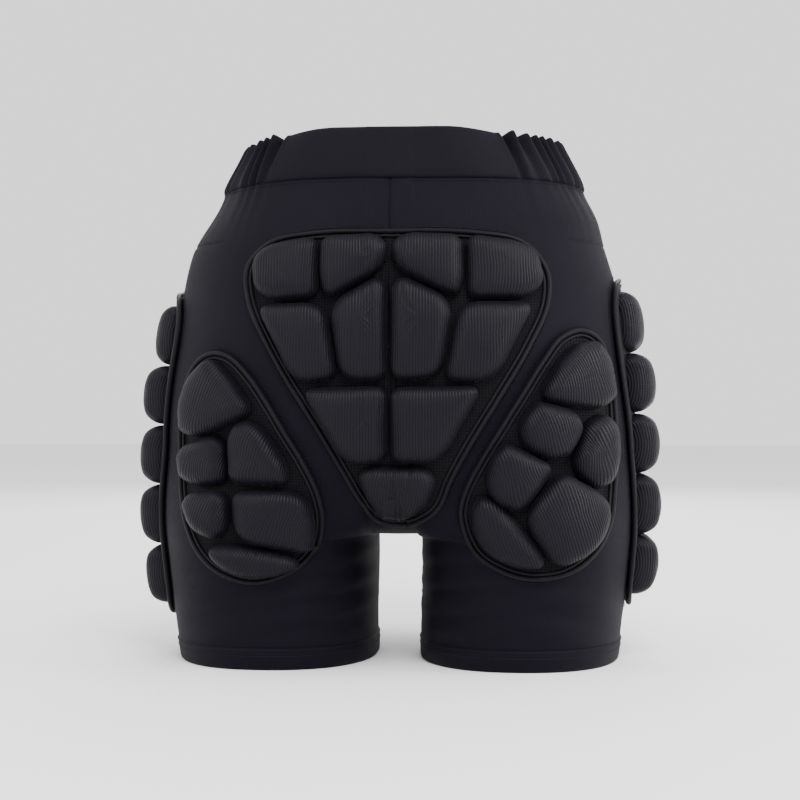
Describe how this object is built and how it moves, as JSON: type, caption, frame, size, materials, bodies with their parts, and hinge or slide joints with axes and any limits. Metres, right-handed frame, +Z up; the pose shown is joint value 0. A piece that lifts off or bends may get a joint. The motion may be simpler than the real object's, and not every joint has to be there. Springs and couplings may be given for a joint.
{
  "type": "padded impact shorts",
  "caption": "Short padded impact shorts with a gathered elastic waistband, a seat and tail pad, rear thigh pads and ribbed hip pads, for snow sports.",
  "frame": {"origin": "under the middle of the object's box, in the plane of the two leg hems it stands on", "axes": "+Z up from the hems to the waist, -Y the wearer's rear, +Y the wearer's front, +X the wearer's right"},
  "size_m": [0.3978, 0.2506, 0.3915],
  "materials": {
    "shell_cloth": "smooth dark knit with a slight sheen",
    "waistband_cloth": "smooth dark knit, gathered at the sides",
    "elastic": "woven elastic webbing inside the casing",
    "pad_mesh": "fine ribbed mesh over moulded foam",
    "pad_backing": "perforated mesh bonded flat between the foam cells",
    "piping": "smooth corded piping"
  },
  "bodies": {
    "pelvis": {"gusset_strip": "shell_cloth", "left_back_yoke": "shell_cloth", "left_front_yoke": "shell_cloth", "right_back_yoke": "shell_cloth", "right_front_yoke": "shell_cloth", "seat_panel": "shell_cloth", "tail_pad_backing": "pad_backing", "tail_pad_foam_low_1": "pad_mesh", "tail_pad_foam_low_2": "pad_mesh", "tail_pad_foam_mid_1": "pad_mesh", "tail_pad_foam_mid_2": "pad_mesh", "tail_pad_foam_mid_3": "pad_mesh", "tail_pad_foam_mid_4": "pad_mesh", "tail_pad_foam_tip": "pad_mesh", "tail_pad_foam_top_1": "pad_mesh", "tail_pad_foam_top_2": "pad_mesh", "tail_pad_foam_top_3": "pad_mesh", "tail_pad_foam_top_4": "pad_mesh", "tail_pad_piping": "piping", "waist_elastic": "elastic", "waistband_back_casing": "waistband_cloth", "waistband_front_casing": "waistband_cloth", "waistband_left_gathered_casing": "waistband_cloth", "waistband_right_gathered_casing": "waistband_cloth"},
    "right_leg": {"right_hip_pad_backing": "pad_backing", "right_hip_pad_foam_row_1": "pad_mesh", "right_hip_pad_foam_row_2": "pad_mesh", "right_hip_pad_foam_row_3": "pad_mesh", "right_hip_pad_foam_row_4": "pad_mesh", "right_hip_pad_foam_row_5": "pad_mesh", "right_hip_pad_piping": "piping", "right_leg_back_panel": "shell_cloth", "right_leg_front_panel": "shell_cloth", "right_leg_hem_band": "shell_cloth", "right_thigh_pad_backing": "pad_backing", "right_thigh_pad_foam_1": "pad_mesh", "right_thigh_pad_foam_2": "pad_mesh", "right_thigh_pad_foam_3": "pad_mesh", "right_thigh_pad_foam_4": "pad_mesh", "right_thigh_pad_foam_5": "pad_mesh", "right_thigh_pad_foam_6": "pad_mesh", "right_thigh_pad_piping": "piping"},
    "left_leg": {"left_hip_pad_backing": "pad_backing", "left_hip_pad_foam_row_1": "pad_mesh", "left_hip_pad_foam_row_2": "pad_mesh", "left_hip_pad_foam_row_3": "pad_mesh", "left_hip_pad_foam_row_4": "pad_mesh", "left_hip_pad_foam_row_5": "pad_mesh", "left_hip_pad_piping": "piping", "left_leg_back_panel": "shell_cloth", "left_leg_front_panel": "shell_cloth", "left_leg_hem_band": "shell_cloth", "left_thigh_pad_backing": "pad_backing", "left_thigh_pad_foam_1": "pad_mesh", "left_thigh_pad_foam_2": "pad_mesh", "left_thigh_pad_foam_3": "pad_mesh", "left_thigh_pad_foam_4": "pad_mesh", "left_thigh_pad_foam_5": "pad_mesh", "left_thigh_pad_foam_6": "pad_mesh", "left_thigh_pad_piping": "piping"}
  },
  "joints": [
    {"name": "right_hip", "type": "hinge", "parent": "pelvis", "child": "right_leg", "pos_m": [0.1, 0.01816, 0.19], "axis": [1, 0, 0], "range_deg": [-4, 25]},
    {"name": "left_hip", "type": "hinge", "parent": "pelvis", "child": "left_leg", "pos_m": [-0.1, 0.01816, 0.19], "axis": [1, 0, 0], "range_deg": [-4, 25]}
  ]
}
